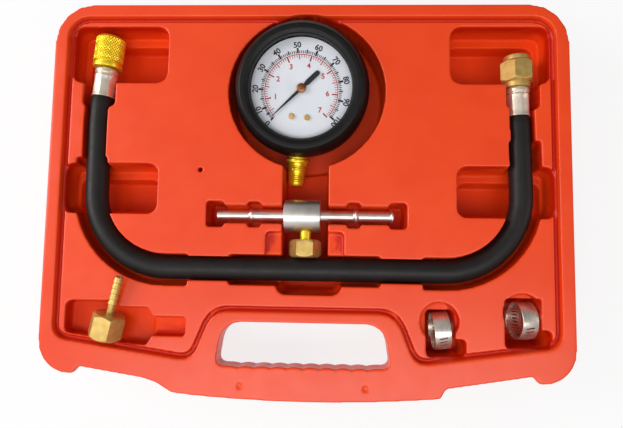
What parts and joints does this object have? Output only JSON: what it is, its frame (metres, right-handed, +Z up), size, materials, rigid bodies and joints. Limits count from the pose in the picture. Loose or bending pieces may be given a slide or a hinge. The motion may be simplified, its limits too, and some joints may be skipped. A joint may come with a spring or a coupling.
{
  "type": "fuel pressure tester kit",
  "caption": "Moulded carry case with a booted pressure gauge, a tee, a hose with a coupling nut at each end, a hose barb and worm drive clamps in their pockets.",
  "frame": {"origin": "centre of the case footprint at its underside", "axes": "+X to the right, +Y from the handle towards the hinge side, +Z up out of the pockets"},
  "size_m": [0.294, 0.2232, 0.049],
  "materials": {
    "case_plastic": "satin moulded polyethylene",
    "boot_rubber": "matt moulded rubber",
    "hose_rubber": "smooth satin rubber",
    "black_enamel": "semi-gloss black",
    "lens_plastic": "clear",
    "dial_paint": "matt white with a printed scale",
    "brass_bright": "turned",
    "brass_gold": "bright gold passivated",
    "bronze": "drawn phosphor bronze",
    "tee_metal": "turned",
    "nickel": "nickel plated",
    "stainless": "polished stainless"
  },
  "bodies": {
    "case": {"case_tray": "case_plastic"},
    "gauge": {"gauge_boot": "boot_rubber", "gauge_can": "black_enamel", "blowout_plug": "boot_rubber", "gauge_bezel": "black_enamel", "lens_gasket": "boot_rubber", "gauge_lens": "lens_plastic", "gauge_dial": "dial_paint", "dial_screw_left": "brass_bright", "dial_screw_right": "brass_bright", "hairspring": "bronze", "movement_front_plate": "brass_bright", "movement_back_plate": "brass_bright", "movement_pillar_left": "brass_bright", "movement_pillar_right": "brass_bright", "bourdon_tube": "bronze", "tube_end_lug": "brass_bright", "gauge_socket": "brass_gold"},
    "pointer": {"gauge_pointer": "black_enamel", "pinion_arbor": "brass_bright"},
    "sector": {"sector_gear": "brass_bright"},
    "link": {"drive_link": "brass_bright"},
    "tee": {"tee_body": "tee_metal", "branch_adapter": "brass_bright"},
    "hose_line": {"hose": "hose_rubber", "ferrule_left": "nickel", "ferrule_right": "nickel", "nipple_left": "brass_bright", "nipple_right": "brass_bright"},
    "knurled_nut": {"knurled_nut": "brass_gold", "nut_seal": "boot_rubber"},
    "hex_nut": {"hex_nut": "brass_bright"},
    "barb": {"hose_barb": "brass_bright"},
    "clamp_left": {"clamp_left_band": "stainless", "clamp_left_housing": "stainless"},
    "clamp_left_screw": {"clamp_left_screw": "stainless"},
    "clamp_right": {"clamp_right_band": "stainless", "clamp_right_housing": "stainless"},
    "clamp_right_screw": {"clamp_right_screw": "stainless"}
  },
  "joints": [
    {"name": "gauge_lift", "type": "slide", "parent": "case", "child": "gauge", "axis": [0, 0, 1], "range_m": [0, 0.06]},
    {"name": "tee_lift", "type": "slide", "parent": "case", "child": "tee", "axis": [0, 0, 1], "range_m": [0, 0.06]},
    {"name": "hose_lift", "type": "slide", "parent": "case", "child": "hose_line", "axis": [0, 0, 1], "range_m": [0, 0.06]},
    {"name": "barb_lift", "type": "slide", "parent": "case", "child": "barb", "axis": [0, 0, 1], "range_m": [0, 0.06]},
    {"name": "clamp_left_lift", "type": "slide", "parent": "case", "child": "clamp_left", "axis": [0, 0, 1], "range_m": [0, 0.06]},
    {"name": "clamp_right_lift", "type": "slide", "parent": "case", "child": "clamp_right", "axis": [0, 0, 1], "range_m": [0, 0.06]},
    {"name": "pointer_turn", "type": "hinge", "parent": "gauge", "child": "pointer", "pos_m": [-0.00345, 0.0629, 0.03813], "axis": [0.0097, 0.1388, -0.9903], "range_deg": [0, 270], "stiffness_Nm_per_rad": 0.0005, "springref_deg": -11.46},
    {"name": "sector_turn", "type": "hinge", "parent": "gauge", "child": "sector", "pos_m": [-0.00413, 0.05315, 0.02868], "axis": [-0.0097, -0.1388, 0.9903], "range_deg": [0, 30]},
    {"name": "link_turn", "type": "hinge", "parent": "sector", "child": "link", "pos_m": [0.00327, 0.05004, 0.02933], "axis": [0.0097, 0.1388, -0.9903], "range_deg": [0, 30]},
    {"name": "knurled_nut_spin", "type": "hinge", "parent": "hose_line", "child": "knurled_nut", "pos_m": [-0.11854, 0.08414, 0.0315], "axis": [0.0942, 0.9956, 0], "continuous": true},
    {"name": "hex_nut_spin", "type": "hinge", "parent": "hose_line", "child": "hex_nut", "pos_m": [0.12034, 0.07379, 0.0315], "axis": [-0.0163, 0.9999, 0], "continuous": true},
    {"name": "clamp_left_screw_spin", "type": "hinge", "parent": "clamp_left", "child": "clamp_left_screw", "pos_m": [0.0764, -0.07301, 0.0144], "axis": [-0.1045, 0.9945, 0], "continuous": true},
    {"name": "clamp_right_screw_spin", "type": "hinge", "parent": "clamp_right", "child": "clamp_right_screw", "pos_m": [0.12, -0.06665, 0.01456], "axis": [-0.0175, 0.9998, 0], "continuous": true}
  ],
  "couplings": [
    {"joint": "sector_turn", "follows": "pointer_turn", "ratio": 0.11111},
    {"joint": "link_turn", "follows": "pointer_turn", "ratio": 0.11111}
  ]
}
